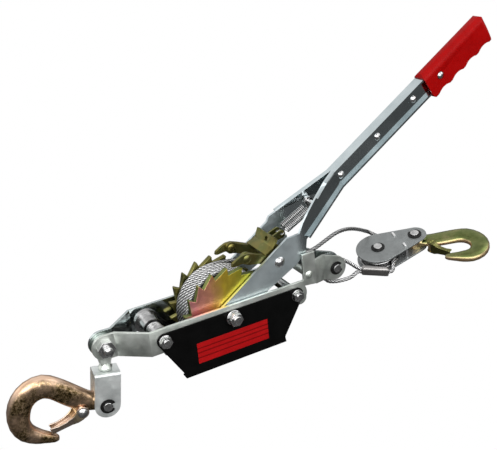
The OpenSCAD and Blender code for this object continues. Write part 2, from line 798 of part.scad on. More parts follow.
module drive_pawl() {
  side_in = wheel_in - 1;
  side_out = wheel_in + 2;
  leg_out = wheel_out - 0.3;
  color(c_yellow) difference() {
    union() {
      for (s = [-1, 1]) {
        bridge_side(s * (side_in + side_out) / 2 - 1.5, s * (side_in + side_out) / 2 + 1.5);
        drive_leg(s * (side_out + leg_out) / 2 - (leg_out - side_out) / 2,
                  s * (side_out + leg_out) / 2 + (leg_out - side_out) / 2);
      }
      // Bridge across the fork, and the tab that stands on it.
      plate_y(1 - leg_out, leg_out - 1) {
        polygon([[50.4, 54.6], [51.2, 51.6], [68.4, 58.5], [67.4, 61.3]]);
        polygon([[60.4, 57], [63, 57], [68, 68], [65.7, 69]]);
      }
      // Ears with holes for the springs' lower hooks.
      for (y = spring_levels) plate_y(y - 1.1, y + 1.1) {
        translate(spring_foot) circle(r = 4.6);
        polygon([[66, 58.6], [67.4, 66], [70, 67.4], spring_foot + [-1.6, 4.3],
          spring_foot + [1.6, -4.3]]);
      }
    }
    bar_y(bolt_r + fit, -40, 40, pawl_pivot[0], pawl_pivot[1]);
    bar_y(3, -40, 40, pawl_rivet[0], pawl_rivet[1]);
    bar_y(2, -12, 8, spring_foot[0], spring_foot[1]);
    translate([61, -1.4 - 3.5, 61.4]) cube([10, 4.8, 4.8]);
  }
}

module pawl_rivets() {
  a = wheel_in - 1;
  b = wheel_out - 0.3;
  color(c_yellow) for (s = [-1, 1]) {
    bar_y(3, min(s * a, s * b), max(s * a, s * b), pawl_rivet[0], pawl_rivet[1]);
    dome_y(5, 1.4, s * b, s, pawl_rivet[0], pawl_rivet[1]);
    dome_y(5, 1.4, s * a, -s, pawl_rivet[0], pawl_rivet[1]);
  }
}

// Extension springs: hook, coil, hook, drawn along +X from the lower hook.
spring_wire = 1.3;
spring_coil_r = 3.6;
spring_turns = 17;
spring_top = spin([spring_bolt_d, spring_bolt_p], [0, 0], handle_angle);
spring_span = norm(spring_top - spring_foot);
spring_lean = atan2(spring_top[1] - spring_foot[1], spring_top[0] - spring_foot[0]);
spring_pitch = (spring_span - 18) / spring_turns;
spring_n = 8 * spring_turns;
spring_route = concat(
  [[3.2, -2.1, 0], [0.6, -2.2, 0], [-0.9, -1.4, 0], [-1.3, 0, 0], [-0.9, 1.4, 0],
   [0.6, 2.2, 0], [4.2, 2.3, 0], [6.2, 3.3, -1.2]],
  [for (i = [0 : spring_n]) let (a = 225 + 45 * i)
    [8 + i * spring_pitch / 8, -spring_coil_r * cos(a), spring_coil_r * sin(a)]],
  [[spring_span - 8, -1.8, -1.8], [spring_span - 5.6, -0.6, -3], [spring_span - 3, 0, -3.6],
   [spring_span, 0, -4.1], [spring_span + 3, 0, -2.9], [spring_span + 4.1, 0, 0],
   [spring_span + 3, 0, 2.9], [spring_span + 0.4, 0, 4.1]]);
echo(spring_gap = coil_gap(
  [for (i = [8 : 8 + spring_n]) spring_route[i]], spring_wire, 6));

module pawl_springs() {
  color(c_steel) for (y = spring_levels)
    translate([spring_foot[0], y, spring_foot[1]]) rotate([0, -spring_lean, 0])
      tube(spring_route, spring_wire / 2, 6, [0.35, 1, 0.12]);
}

// ------------------------------------------------------------------ swivel and anchor hook

// Stands at the swivel's bolt with +Z along the shank.
module at_swivel() { translate([-anchor_x, 0, 0.5]) rotate([0, swivel_lean, 0]) children(); }

// The clevis's own frame, turned about the shank and leaning on it.
module at_clevis() {
  at_swivel() rotate([0, 0, -swivel_turn]) translate([0, 0, -clevis_top])
    rotate([0, clevis_lean, 0]) translate([0, 0, clevis_top]) children();
}

// The anchor hook's frame: X towards the bowl, Y up, Z along the pin.
module at_anchor_hook() {
  at_clevis() translate([0, 0, -clevis_drop]) rotate([90, 0, 180]) children();
}

module swivel_eye() {
  half = tab_in - gap;
  color(c_zinc) at_swivel() difference() {
    union() {
      bar_y(10.5, -half, half);
      plate_y(-half, half)
        polygon([[-9.5, -4], [-5, 6 - clevis_top], [5, 6 - clevis_top], [9.5, -4]]);
      translate([0, 0, 1.1 - clevis_top]) cylinder(r1 = 7, r2 = 7.6, h = 2.4);
      translate([0, 0, 3.5 - clevis_top]) cylinder(r1 = 7.6, r2 = 4, h = 4);
      translate([0, 0, -clevis_top - 10]) cylinder(r = 4.5, h = 12);
    }
    bar_y(pin_r + fit, -40, 40);
  }
}

module swivel_nut() {
  color(c_zinc) at_swivel() translate([0, 0, -clevis_top - clevis_t - 7.2]) difference() {
    cylinder(r = 7.6, h = 6.1);
    translate([0, 0, -1]) cylinder(r = 4.5, h = 10);
  }
}

module clevis() {
  half = clevis_w / 2;
  bend = 3.2;
  color(c_zinc) at_clevis() difference() {
    intersection() {
      union() {
        translate([-half, -clevis_half + bend, -clevis_top - clevis_t])
          cube([clevis_w, 2 * (clevis_half - bend), clevis_t]);
        for (s = [0, 1]) mirror([0, s, 0]) {
          translate([-half, -clevis_half, -clevis_drop - half])
            cube([clevis_w, clevis_t, clevis_drop + half - clevis_top - bend]);
          translate([-half, -clevis_half + bend, -clevis_top - bend]) rotate([0, 90, 0])
            linear_extrude(clevis_w) intersection() {
              difference() {
                circle(r = bend);
                circle(r = bend - clevis_t);
              }
              translate([-bend, -bend]) square(bend);
            }
        }
      }
      plate_y(-20, 20) {
        translate([0, -clevis_drop]) circle(r = half);
        translate([-half, -clevis_drop]) square([clevis_w, clevis_drop]);
      }
    }
    translate([0, 0, -clevis_top - 10]) cylinder(r = 5, h = 20);
    bar_y(pin_r, -20, 20, 0, -clevis_drop);
  }
}

module clevis_pin() {
  color(c_zinc) at_clevis() bar_y(pin_r, -clevis_half - 3, clevis_half + 3, 0, -clevis_drop);
}

module clevis_clips() {
  color(c_black) at_clevis() {
    clip_y(-clevis_half - 1.2, -clevis_half, 0, -clevis_drop, 0);
    clip_y(clevis_half, clevis_half + 1.2, 0, -clevis_drop, 30);
  }
}

// Middle line of the anchor hook from its neck to its tip: along, up, half width in
// the hook's plane, half thickness across it.
hook_line = [[3, 1.6, 9, 5.6], [12, 2, 9.9, 6.4], [21.8, 4.7, 11, 7], [32.2, 10.2, 11.8, 7.6],
  [43.9, 18, 11.8, 8], [54.3, 24.6, 11.5, 8.4], [65.6, 28.2, 12.5, 8.6], [77.3, 24.4, 12.4, 8.6],
  [86.1, 14.8, 12.1, 8.6], [89.9, 1.9, 12, 8.6], [88.8, -12, 11.1, 8.6], [82.1, -23, 9.8, 8.2],
  [71.9, -28.9, 7.9, 7.6], [64.2, -31.5, 6.2, 6.6], [53.5, -34.7, 4.4, 5], [49.6, -35.5, 2.2, 3]];

// How each hook follows that line: along, up, width, thickness.
anchor_form = [1, 1, 1, 1];
load_form = [load_hook_long, load_hook_wide, 0.92, 0.62];

// Smooth curve through four neighbouring stations.
function blend(a, b, c, d, t) =
  0.5 * (2 * b + (c - a) * t + (2 * a - 5 * b + 4 * c - d) * t * t
    + (3 * b - a - 3 * c + d) * t * t * t);
function station(i, f) =
  let (q = hook_line[max(0, min(len(hook_line) - 1, i))]) [for (k = [0 : 3]) q[k] * f[k]];
function hook_route(f) = concat(
  [for (i = [0 : len(hook_line) - 2], t = [0, 0.5])
    blend(station(i - 1, f), station(i, f), station(i + 1, f), station(i + 2, f), t)],
  [station(len(hook_line) - 1, f)]);

// Oval ring at one station; the flat sides are a little fuller than an ellipse.
function oval(q, t, n) = [for (k = [0 : n - 1])
  let (a = 360 * k / n, c = cos(a), s = sin(a), f = 1 + 0.1 * pow(sin(2 * a), 2))
  [q[0] - t[1] * q[2] * f * c, q[1] + t[0] * q[2] * f * c, q[3] * f * s]];
function flat_heading(p, i) =
  let (a = p[max(i - 1, 0)], b = p[min(i + 1, len(p) - 1)]) unit([b[0] - a[0], b[1] - a[1]]);

module hook_body(f) {
  n = 16;
  p = hook_route(f);
  polyhedron(
    points = [for (i = [0 : len(p) - 1]) each oval(p[i], flat_heading(p, i), n)],
    faces = skin(len(p), n));
}

// Latch: place of its rivet on the hook, its direction at rest, and its size.
anchor_latch_at = [26, -4.8];
anchor_latch_turn = -27;
load_latch_at = [21.7, -6.7];
load_latch_turn = -15;
load_latch_size = 0.74;
latch_in = 8.1;
latch_t = 1.6;
latch_pin = 2.4;

module hook(boss_r, boss_half, f, at, size) {
  pad = (latch_in - gap) * size;
  difference() {
    union() {
      hook_body(f);
      translate([0, 0, -boss_half]) cylinder(r = boss_r, h = 2 * boss_half);
      translate([at[0], at[1], -pad]) cylinder(r = 5.6 * size, h = 2 * pad);
    }
    translate([0, 0, -30]) cylinder(r = pin_r + fit, h = 60);
    translate([at[0], at[1], -30]) cylinder(r = latch_pin * size, h = 60);
  }
}

// Sheet latch: an open channel whose cheeks stand beside the neck at the rivet and
// close in towards the tip; its web is on the outer side.
latch_plan = [[-8, latch_in + latch_t / 2], [8.5, latch_in + latch_t / 2], [15, 6.2], [26, 5],
  [39, 4]];
module latch(at, turn) {
  translate([at[0], at[1], 0]) rotate([0, 0, turn]) difference() {
    union() {
      for (s = [0, 1]) mirror([0, 0, s]) intersection() {
        slab(20) {
          circle(r = 6.8);
          polygon([[-1, -6.6], [3, -7.4], [14, -7.7], [34, -6.7], [36.8, -6.1], [37.2, 0.3],
            [35.4, 0.7], [28.8, -1.2], [20, -1.6], [12.3, -0.2], [5.8, 3.4], [0, 6.7]]);
        }
        rotate([90, 0, 0]) translate([0, 0, -20]) linear_extrude(40)
          polygon(strip(latch_plan, latch_t));
      }
      intersection() {
        translate([0, 0, -20]) linear_extrude(40)
          polygon([[3, -7.4], [14, -7.7], [34, -6.7], [36.8, -6.1], [36.9, -4.5], [34, -5.1],
            [14, -6.1], [3, -5.9]]);
        rotate([90, 0, 0]) translate([0, 0, -20]) linear_extrude(40)
          polygon(concat(latch_plan, [for (i = [4 : -1 : 0]) [latch_plan[i][0], -latch_plan[i][1]]]));
      }
    }
    translate([0, 0, -30]) cylinder(r = latch_pin + fit, h = 60);
  }
}

module latch_rivet(at) {
  out = latch_in + latch_t + 0.3;
  translate([at[0], at[1], 0]) {
    translate([0, 0, -out]) cylinder(r = latch_pin, h = 2 * out);
    for (s = [0, 1]) mirror([0, 0, s]) translate([0, 0, out]) dome(5.4, 2.4);
  }
}

module anchor_hook() {
  color(c_bronze) at_anchor_hook() hook(13, 7.2, anchor_form, anchor_latch_at, 1);
}
module anchor_latch_rivet() { color(c_zinc) at_anchor_hook() latch_rivet(anchor_latch_at); }
module anchor_latch() {
  color(c_yellow) at_anchor_hook() latch(anchor_latch_at, anchor_latch_turn);
}

// ------------------------------------------------------------------ pulley block

module in_block() {
  translate(block_pos) rotate([0, 0, block_yaw]) rotate([0, block_pitch, 0])
    rotate([block_tilt, 0, 0]) children();
}

module at_load_hook() {
  in_block() translate([block_len, 0, 0]) rotate([0, 0, load_hook_turn]) children();
}

// Side plate of the block, standing on level z: two round ends, two pin holes and
// two slots for the spacer bars.
module block_plate(z) {
  nose = [block_len, 0];
  a = acos((block_r - block_nose_r) / block_len);
  color(c_grey) in_block() translate([0, 0, z]) difference() {
    slab(block_t) {
      circle(r = block_r);
      translate(nose) circle(r = block_nose_r);
      polygon([polar(block_r, a), nose + polar(block_nose_r, a), nose,
        nose + polar(block_nose_r, -a), polar(block_r, -a), [0, 0]]);
    }
    for (x = [0, block_len]) translate([x, 0, -1]) cylinder(r = pin_r, h = block_t + 2);
    for (s = [-1, 1])
      translate([spacer_v - 1.4 * s, s * spacer_w, block_t / 2]) cube([2.5, 7, block_t + 2], center = true);
  }
}

module upper_block_plate() { block_plate(block_half - block_t); }
module lower_block_plate() { block_plate(-block_half); }

// Two flat bars between the plates; their narrow ends show in the slots.
module block_spacers() {
  inner = block_half - block_t;
  color(c_grey) in_block() for (s = [-1, 1]) translate([spacer_v - 1.4 * s, s * spacer_w, 0]) {
    cube([2.5, 7, 2 * block_half + 3.6], center = true);
    translate([0, s * 0.5, 0]) cube([2.5, 10, 2 * inner], center = true);
  }
}

module block_pin_at(v) {
  in_block() translate([v, 0, -block_half - 3]) cylinder(r = pin_r, h = 2 * block_half + 6);
}

module sheave_pin() { color(c_zinc) block_pin_at(0); }
module hook_pin() { color(c_zinc) block_pin_at(block_len); }

module block_clips() {
  color(c_black) in_block() for (v = [0, block_len], s = [0, 1])
    mirror([0, 0, s]) translate([v, 0, block_half]) rotate([0, 0, 90 + 40 * s])
      linear_extrude(1.2) clip_flat(pin_r, pin_r + 3.2);
}

module sheave() {
  half = 5.5;
  color(c_steel) in_block() rotate_extrude() difference() {
    polygon([[8, -half], [sheave_r, -half], [sheave_r, half], [8, half]]);
    translate([sheave_rope_r, 0]) circle(r = rope_r + 0.35);
    polygon([[sheave_rope_r, -rope_r - 0.35], [sheave_r + 1, -rope_r - 1.3],
      [sheave_r + 1, rope_r + 1.3], [sheave_rope_r, rope_r + 0.35]]);
  }
}

module sheave_bush() {
  color(c_yellow) in_block() difference() {
    translate([0, 0, -6.2]) cylinder(r = 8, h = 12.4);
    translate([0, 0, -10]) cylinder(r = pin_r + fit, h = 20);
  }
}

module load_hook() {
  color(c_yellow) at_load_hook()
    hook(11, block_half - block_t - gap, load_form, load_latch_at, load_latch_size);
}

module load_latch_rivet() {
  color(c_zinc) at_load_hook() scale(load_latch_size) latch_rivet(load_latch_at / load_latch_size);
}

module load_latch() {
  color(c_yellow) at_load_hook() scale(load_latch_size)
    latch(load_latch_at / load_latch_size, load_latch_turn);
}

// ------------------------------------------------------------------ output

near_strap();
far_strap();
near_cover();
far_cover();
label_plate();
axle_bolt();
axle_nut();
axle_washers();
cover_bolts();
cover_nuts();
pawl_spacer();
strap_spacer();
guide_rod();
strap_bolt();
strap_nut();
eye_pin();
eye_pin_clips();
pawl_torsion_spring();
rope_eye();
ferrule();
rope_lead();
rope_tail();
drum_core();
near_ratchet();
far_ratchet();
drum_bush();
rope_winding();
stop_pawl();
near_handle_half();
far_handle_half();
handle_rivets();
grip();
grip_screw();
pawl_bolt();
pawl_nut();
spring_bolt();
spring_nut();
drive_pawl();
pawl_rivets();
pawl_springs();
swivel_eye();
swivel_nut();
clevis();
clevis_pin();
clevis_clips();
anchor_hook();
anchor_latch_rivet();
anchor_latch();
upper_block_plate();
lower_block_plate();
block_spacers();
sheave_pin();
hook_pin();
block_clips();
rope_bight();
sheave();
sheave_bush();
load_hook();
load_latch_rivet();
load_latch();
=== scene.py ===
import json
import math
import bmesh
import bpy
import numpy as np
from mathutils import Matrix, Vector


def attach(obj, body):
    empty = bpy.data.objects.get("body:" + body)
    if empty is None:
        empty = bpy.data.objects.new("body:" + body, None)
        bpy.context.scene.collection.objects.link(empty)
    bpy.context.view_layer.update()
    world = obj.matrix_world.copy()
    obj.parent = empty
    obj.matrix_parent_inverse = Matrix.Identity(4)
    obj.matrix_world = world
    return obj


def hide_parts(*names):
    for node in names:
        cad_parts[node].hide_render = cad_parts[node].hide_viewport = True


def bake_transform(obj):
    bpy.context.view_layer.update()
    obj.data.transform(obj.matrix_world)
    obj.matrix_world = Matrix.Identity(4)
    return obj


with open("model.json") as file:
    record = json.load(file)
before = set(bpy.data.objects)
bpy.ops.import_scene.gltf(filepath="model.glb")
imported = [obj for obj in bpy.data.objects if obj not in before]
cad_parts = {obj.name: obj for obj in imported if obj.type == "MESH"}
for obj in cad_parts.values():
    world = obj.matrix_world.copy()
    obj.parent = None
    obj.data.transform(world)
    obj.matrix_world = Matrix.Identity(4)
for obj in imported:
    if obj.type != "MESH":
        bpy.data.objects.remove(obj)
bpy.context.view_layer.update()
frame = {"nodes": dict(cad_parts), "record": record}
nodes = frame["nodes"]
body_of = {n: b for b, ns in frame["record"]["behaviour"]["bodies"].items() for n in ns}
scene = bpy.context.scene

# Shapes are laid out in millimetres and turned into metres by MM. Finishes, lights and the
# floor are in metres.
MM = 0.001


# ---------------------------------------------------------------- camera
# The camera's axes in the model's frame (to its right, up, and back from what it sees), and
# its place along them.
RIGHT = Vector((0.873, -0.4795, -0.0891))
UP = Vector((0.2607, 0.3049, 0.9154))
BACK = Vector((-0.412, -0.823, 0.391))
CAMERA_AT = (31.48, 89.05, 888.11)
IMAGE_W = 497
FOCAL_PX = 805.23
SENSOR_W = 36


def place_camera():
    data = bpy.data.cameras.new("camera")
    cam = bpy.data.objects.new("camera", data)
    scene.collection.objects.link(cam)
    at = (RIGHT * CAMERA_AT[0] + UP * CAMERA_AT[1] + BACK * CAMERA_AT[2]) * MM
    cam.matrix_world = Matrix((
        (RIGHT.x, UP.x, BACK.x, at.x), (RIGHT.y, UP.y, BACK.y, at.y),
        (RIGHT.z, UP.z, BACK.z, at.z), (0, 0, 0, 1)))
    data.sensor_width = SENSOR_W
    data.lens = FOCAL_PX / IMAGE_W * SENSOR_W
    data.clip_start = 0.01
    scene.camera = cam


place_camera()
scene.view_settings.view_transform = "Standard"


# ---------------------------------------------------------------- lines
OVERSAMPLE = 3
START_ACROSS = (0.31, 0.83, 0.46)


def gaps(line):
    """Distance from each point of a line to the next."""
    return np.linalg.norm(np.diff(line, axis=0), axis=1)


def travelled(line):
    """Distance along a line at each of its points."""
    return np.concatenate([[0], np.cumsum(gaps(line))])


def unit(rows):
    return rows / np.linalg.norm(rows, axis=1)[:, None]


def smooth_line(points, step):
    """Even points, about step apart, on a centripetal Catmull-Rom curve through the given ones."""
    p = np.array(points, float)
    p = np.vstack([2 * p[0] - p[1], p, 2 * p[-1] - p[-2]])
    out = []
    for i in range(1, len(p) - 2):
        a, b, c, d = p[i - 1:i + 3]
        ta = np.linalg.norm(b - a) ** 0.5
        tb = ta + np.linalg.norm(c - b) ** 0.5
        tc = tb + np.linalg.norm(d - c) ** 0.5
        count = max(OVERSAMPLE, int(np.linalg.norm(c - b) / step * OVERSAMPLE))
        for t in np.linspace(ta, tb, count, endpoint=False):
            q1 = a + (b - a) * (t / ta)
            q2 = b + (c - b) * ((t - ta) / (tb - ta))
            q3 = c + (d - c) * ((t - tb) / (tc - tb))
            r1 = q1 + (q2 - q1) * (t / tb)
            r2 = q2 + (q3 - q2) * ((t - ta) / (tc - ta))
            out.append(r1 + (r2 - r1) * ((t - ta) / (tb - ta)))
    out.append(p[-2])
    line = np.array(out)
    s = travelled(line)
    at = np.linspace(0, s[-1], max(3, int(round(s[-1] / step)) + 1))
    return np.stack([np.interp(at, s, line[:, k]) for k in range(3)], axis=1)


def across(line):
    """Two cross directions at each point of a line, turning as little as possible."""
    t = unit(np.gradient(line, axis=0))
    u = np.zeros_like(t)
    u[0] = np.cross(t[0], START_ACROSS)
    u[0] /= np.linalg.norm(u[0])
    for i in range(1, len(t)):
        v = u[i - 1] - np.dot(u[i - 1], t[i]) * t[i]
        u[i] = v / np.linalg.norm(v)
    return u, np.cross(t, u)


# ---------------------------------------------------------------- mesh aids
WIRE_SIDES = 10
AROUND = np.arange(WIRE_SIDES) * 2 * math.pi / WIRE_SIDES


def new_object(name, mesh):
    obj = bpy.data.objects.new(name, mesh)
    scene.collection.objects.link(obj)
    return obj


def select(objs):
    """Selects these objects alone and makes the first one active."""
    bpy.ops.object.select_all(action="DESELECT")
    for obj in objs:
        obj.select_set(True)
    bpy.context.view_layer.objects.active = objs[0]


def rings(line, u, v, radius):
    """A ring of points round each point of a line."""
    cos, sin = np.cos(AROUND)[None, :, None], np.sin(AROUND)[None, :, None]
    return line[:, None] + radius * (cos * u[:, None] + sin * v[:, None])


def tube_faces(count, first=0):
    """The faces of a closed tube of count rings, whose points start at number first."""
    sides = WIRE_SIDES
    faces = [(first + i * sides + k, first + i * sides + (k + 1) % sides,
              first + (i + 1) * sides + (k + 1) % sides, first + (i + 1) * sides + k)
             for i in range(count - 1) for k in range(sides)]
    faces.append(tuple(first + k for k in reversed(range(sides))))
    faces.append(tuple(first + (count - 1) * sides + k for k in range(sides)))
    return faces


def smooth_mesh(name, points, faces):
    mesh = bpy.data.meshes.new(name)
    mesh.from_pydata((points.reshape(-1, 3) * MM).tolist(), [], faces)
    mesh.shade_smooth()
    return mesh


def tube(name, line, radius):
    """A smooth round wire."""
    u, v = across(line)
    return new_object(name, smooth_mesh(name, rings(line, u, v, radius), tube_faces(len(line))))


ROPE_D = 4.8
ROPE_R = ROPE_D / 2
ROPE_LAY = 21.0
STRANDS = 5
STRAND_R = ROPE_R * 0.38


def rope(name, line):
    """Laid wire rope. Its attribute "outward" is 1 on a strand's crown and -1 at the core."""
    u, v = across(line)
    s = travelled(line)
    strands, faces = [], []
    for k in range(STRANDS):
        phi = 2 * math.pi * (s / ROPE_LAY + k / STRANDS)
        out = np.cos(phi)[:, None] * u + np.sin(phi)[:, None] * v
        path = line + (ROPE_R - STRAND_R) * out
        tangent = unit(np.gradient(path, axis=0))
        side = unit(np.cross(tangent, out))
        strands.append(rings(path, np.cross(side, tangent), side, STRAND_R))
        faces += tube_faces(len(line), k * len(line) * WIRE_SIDES)
    mesh = smooth_mesh(name, np.concatenate(strands), faces)
    outward = np.tile(np.cos(AROUND), STRANDS * len(line)).tolist()
    mesh.attributes.new("outward", "FLOAT", "POINT").data.foreach_set("value", outward)
    bm = bmesh.new()
    bm.from_mesh(mesh)
    bmesh.ops.recalc_face_normals(bm, faces=bm.faces)
    bm.to_mesh(mesh)
    bm.free()
    return new_object(name, mesh)


# ---------------------------------------------------------------- cable
# The block's place and its turns, and the cable's arc in its sheave, in degrees.
BLOCK_AT = Vector((217, 0, -2.1))
BLOCK_TURN = (Matrix.Rotation(math.radians(-14.7), 3, "Z")
              @ Matrix.Rotation(math.radians(-9.8), 3, "Y")
              @ Matrix.Rotation(math.radians(11.3), 3, "X"))
SHEAVE_ROPE_R = 20.6
ARC_FROM, ARC_TO, ARC_STEPS = 20, -35, 6
STRAIGHT_ON = 3
# The drum: radius to the rope's middle and to the core's face, turns, and room between turns.
WINDING_R, CORE_R = 45, 42.2
ROPE_TURNS, TURN_GAP = 5, 0.45
LEAD_Y = ROPE_TURNS * (ROPE_D + TURN_GAP) / 2
STEPS_PER_TURN = 24
HOLE_DEPTH, HOLE_BEND_R = 2, 4
# The ferrule's two ends in the block's own frame, half the distance between the eye's legs,
# and the straight runs of the eye and of the tail at the ferrule.
FERRULE_A, FERRULE_B = Vector((-31, -21.4, 2.6)), Vector((-2, -31.4, -5))
LEG_OFFSET = ROPE_R + 0.1
EYE_RUN, TAIL_RUN = 4, 2
ROPE_STEP, WINDING_STEP = 1.4, 2.2


def in_world(q):
    return BLOCK_AT + BLOCK_TURN @ Vector(q)


def on_sheave(angle):
    a = math.radians(angle)
    return Vector((SHEAVE_ROPE_R * math.cos(a), SHEAVE_ROPE_R * math.sin(a), 0))


def beyond(end, inner):
    """A point straight on from an end of the arc."""
    return end + STRAIGHT_ON * (end - inner).normalized()


arc = [on_sheave(ARC_FROM + (ARC_TO - ARC_FROM) * i / ARC_STEPS) for i in range(ARC_STEPS + 1)]
lead_route = [
    (ROPE_D, LEAD_Y, WINDING_R), (ROPE_D + 3, LEAD_Y, WINDING_R), (20, LEAD_Y - 0.5, 43.4),
    (42, LEAD_Y - 2, 39), (64, LEAD_Y - 4.5, 34.2), (88, LEAD_Y - 7.5, 30.6), (105, 4, 29),
    (118, 2.6, 28.6), (130, 3, 30.4), (146, 4.4, 35.2), (160, 6.2, 38.6), (173, 8.6, 38.4),
    (187, 12.4, 34.6), (200, 16.8, 28.6), (211, 21, 22.4),
] + [in_world(q) for q in (
    (2.5, 32.2, 9.6), (8.6, 28.6, 5), (13.9, 22.8, 2.2), (16.9, 16.4, 0.5),
    beyond(arc[0], arc[1]), arc[0])]
ferrule_dir = (FERRULE_B - FERRULE_A).normalized()
tail_route = [in_world(q) for q in (
    arc[-1], beyond(arc[-1], arc[-2]), (12.9, -17.4, 0), (9.6, -21.8, -0.3), (7.4, -25.4, -1.4),
    (5.2, -29, -3.6), (3, -31.6, -5), FERRULE_B + ferrule_dir * TAIL_RUN, FERRULE_B)]
ferrule_up = (Vector((0, 0, 1)) - ferrule_dir.z * ferrule_dir).normalized()
eye_high = in_world(FERRULE_A + ferrule_up * LEG_OFFSET)
eye_low = in_world(FERRULE_A - ferrule_up * LEG_OFFSET)
eye_back = in_world(FERRULE_A - ferrule_dir * EYE_RUN) - in_world(FERRULE_A)
eye_route = [
    eye_high, eye_high + eye_back, (169, -6.4, 2.4), (160.5, -3.2, 8.2), (151, -0.6, 11),
    (143, 0.4, 9.4), (138, 0.6, 4), (136.4, 0.4, -3), (137.4, 0, -10), (142, -0.8, -15.4),
    (150, -2.4, -18), (160, -5, -18.2), (169.5, -7.6, -16.6), eye_low + eye_back, eye_low]


def wind_at(r, degrees, share):
    """A point round the drum, at a share of the way across its width."""
    a = math.radians(degrees)
    return (r * math.cos(a), -LEAD_Y + 2 * LEAD_Y * share, r * math.sin(a))


def winding_route():
    """From the hole in the core to the top of the drum, where the lead starts."""
    start = 90 + 360 * ROPE_TURNS
    lean = math.degrees(math.asin(HOLE_BEND_R / WINDING_R))
    pts = [wind_at(CORE_R - HOLE_DEPTH, start, 0)]
    for t in (0, 30, 60):
        x = WINDING_R - HOLE_BEND_R + HOLE_BEND_R * math.sin(math.radians(t))
        y = HOLE_BEND_R - HOLE_BEND_R * math.cos(math.radians(t))
        pts.append(wind_at(math.hypot(x, y), start - math.degrees(math.atan2(y, x)), 0))
    steps = STEPS_PER_TURN * ROPE_TURNS
    pts += [wind_at(WINDING_R, start - lean - (360 * ROPE_TURNS - lean) * i / steps, i / steps)
            for i in range(steps + 1)]
    return pts + [(ROPE_D, LEAD_Y, WINDING_R)]


def wound_rope(name, node, line):
    obj = rope(name, line)
    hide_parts(node)
    return obj


def wound(name, node, route, body, step=ROPE_STEP):
    """Rope that lies in a groove or on a drum."""
    obj = wound_rope(name, node, smooth_line(route, step))
    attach(obj, body)
    return obj


def free(name, node, route, between=None):
    """A free stretch of rope, fixed to the frame, or left unattached in the world when two places
    are given.
    """
    line = smooth_line(route, ROPE_STEP)
    obj = wound_rope(name, node, line)
    if between:
        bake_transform(obj)
    else:
        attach(obj, "frame")
    return obj


ropes = [
    free("cable_lead", "rope_lead", lead_route,
         (Vector((30, 12, 42)) * MM, Vector((205, 19, 26)) * MM)),
    free("cable_eye", "rope_eye", eye_route),
    free("cable_tail", "rope_tail", tail_route,
         (in_world((2, -30, -5)) * MM, in_world((14, -16, 0)) * MM)),
    wound("cable_winding", "rope_winding", winding_route(), "drum", WINDING_STEP),
    wound("cable_in_sheave", "rope_bight", [in_world(q) for q in arc], "block"),
]


# ---------------------------------------------------------------- springs
SPRING_STEP = 0.9
LEVER_TILT = 32.4
# The spring bolt's place along and across the lever, the hooks' place in the drive pawl's
# ears, and the springs' two levels.
BOLT_ALONG, BOLT_ACROSS = 154, 8
SPRING_FOOT = Vector((80, 66))
SPRING_LEVELS = (-7.5, 2.5)
# Where the coil starts from the foot, where it ends before the bolt, and its first angle.
COIL_FROM, COIL_TO = 8, 10
COIL_START = 225


def spring_pair():
    """Two extension springs from the drive pawl's ears to the bolt in the lever."""
    wire, coil_r, turns, per_turn = 1.3, 3.6, 17, 16
    foot, tilt = SPRING_FOOT, math.radians(LEVER_TILT)
    top = Vector((BOLT_ALONG * math.cos(tilt) - BOLT_ACROSS * math.sin(tilt),
                  BOLT_ALONG * math.sin(tilt) + BOLT_ACROSS * math.cos(tilt)))
    span, lean = (top - foot).length, math.atan2(top.y - foot.y, top.x - foot.x)
    pitch = (span - (COIL_FROM + COIL_TO)) / turns
    route = [(3.2, -2.1, 0), (0.6, -2.2, 0), (-0.9, -1.4, 0), (-1.3, 0, 0), (-0.9, 1.4, 0),
             (0.6, 2.2, 0), (4.2, 2.3, 0), (6.2, 3.3, -1.2)]
    for i in range(per_turn * turns + 1):
        t = math.radians(COIL_START + 360 / per_turn * i)
        route.append((COIL_FROM + i * pitch / per_turn, -coil_r * math.cos(t),
                      coil_r * math.sin(t)))
    route += [(span - 8, -1.8, -1.8), (span - 5.6, -0.6, -3), (span - 3, 0, -3.6),
              (span, 0, -4.1), (span + 3, 0, -2.9), (span + 4.1, 0, 0), (span + 3, 0, 2.9),
              (span + 0.4, 0, 4.1)]
    made = []
    for i, y in enumerate(SPRING_LEVELS):
        line = np.array([(foot.x + p[0] * math.cos(lean) - p[2] * math.sin(lean), y + p[1],
                          foot.y + p[0] * math.sin(lean) + p[2] * math.cos(lean))
                         for p in route])
        made.append(tube(f"pawl_spring_{i}", smooth_line(line, SPRING_STEP), wire / 2))
    select(made)
    bpy.ops.object.join()
    pair = made[0]
    pair.name = "pawl_spring_pair"
    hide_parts("pawl_springs")
    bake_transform(pair)
    return pair


def pawl_curl():
    """Torsion spring round the stop pawl's tube."""
    r, wire, turns, pitch, per_turn = 8.5, 1.4, 5.5, 2.1, 24
    route = [(r, 0, -4 * wire), (r, 0, -2 * wire)]
    for i in range(int(per_turn * turns) + 1):
        t = math.radians(360 / per_turn * i)
        route.append((r * math.cos(t), i * pitch / per_turn, r * math.sin(t)))
    route += [(-r, turns * pitch, -2 * wire), (-r, turns * pitch, -4 * wire)]
    line = np.array(route) + np.array((-80, -14.5, 0))
    obj = tube("pawl_curl", smooth_line(line, SPRING_STEP), wire / 2)
    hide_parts("pawl_torsion_spring")
    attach(obj, "frame")
    return obj


springs = [spring_pair(), pawl_curl()]


# ---------------------------------------------------------------- refined CAD pieces
# Points closer than WELD metres are one, faces within FLAT degrees are one, and edges sharper
# than EDGE degrees are rounded. The forged hooks are smooth up to HOOK_EDGE degrees.
WELD, FLAT = 2e-6, 0.6
EDGE, HOOK_EDGE = 32, 55
HOOKS = ("load_hook", "anchor_hook")


